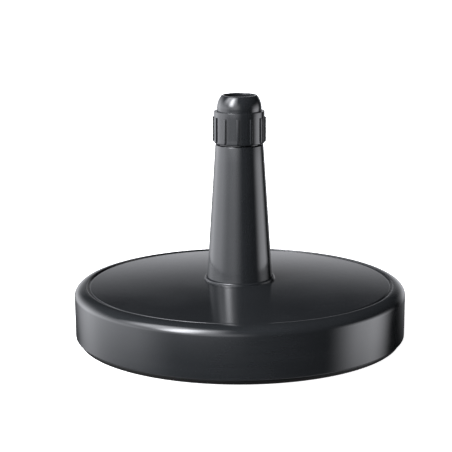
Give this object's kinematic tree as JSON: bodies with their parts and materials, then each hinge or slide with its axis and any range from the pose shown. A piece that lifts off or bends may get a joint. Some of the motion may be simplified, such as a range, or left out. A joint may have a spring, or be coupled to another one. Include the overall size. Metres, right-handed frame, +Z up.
{
  "type": "parasol base",
  "caption": "Round weighted garden parasol base: low dished disc with a rounded rim, a tapered stem and a ribbed screw clamp with a domed collet that grips the pole.",
  "frame": {"origin": "centre of the footprint, on the floor that the foot pads stand on", "axes": "+Z up along the pole's axis; +X passes through the first foot pad; the object is round, so +X and +Y are otherwise free"},
  "size_m": [0.42, 0.42, 0.3123],
  "materials": {
    "anthracite_plastic": "satin moulded, anthracite grey",
    "black_plastic": "fine matt moulded, black",
    "concrete": "cast, rough",
    "foot_rubber": "matt",
    "screw_steel": "zinc plated"
  },
  "bodies": {
    "base": {"top_shell": "anthracite_plastic", "bottom_tray": "black_plastic", "concrete_ballast": "concrete", "stem": "anthracite_plastic", "pole_socket": "black_plastic", "foot_pad_1": "foot_rubber", "foot_pad_2": "foot_rubber", "foot_pad_3": "foot_rubber", "foot_pad_4": "foot_rubber", "foot_pad_5": "foot_rubber", "foot_pad_6": "foot_rubber", "tray_screw_1": "screw_steel", "tray_screw_2": "screw_steel", "tray_screw_3": "screw_steel", "tray_screw_4": "screw_steel", "tray_screw_5": "screw_steel", "tray_screw_6": "screw_steel", "stem_screw_1": "screw_steel", "stem_screw_2": "screw_steel", "stem_screw_3": "screw_steel", "stem_screw_4": "screw_steel"},
    "collet": {"clamp_collet": "anthracite_plastic"},
    "nut": {"clamp_nut": "anthracite_plastic"}
  },
  "joints": [
    {"name": "collet_lift", "type": "slide", "parent": "base", "child": "collet", "axis": [0, 0, 1], "range_m": [-0.00151, 0.01251]},
    {"name": "nut_turn", "type": "hinge", "parent": "collet", "child": "nut", "pos_m": [0, 0, 0.272], "axis": [0, 0, 1], "range_deg": [-108, 900]}
  ],
  "couplings": [
    {"joint": "collet_lift", "follows": "nut_turn", "m_per_rad": 0.00079577}
  ]
}
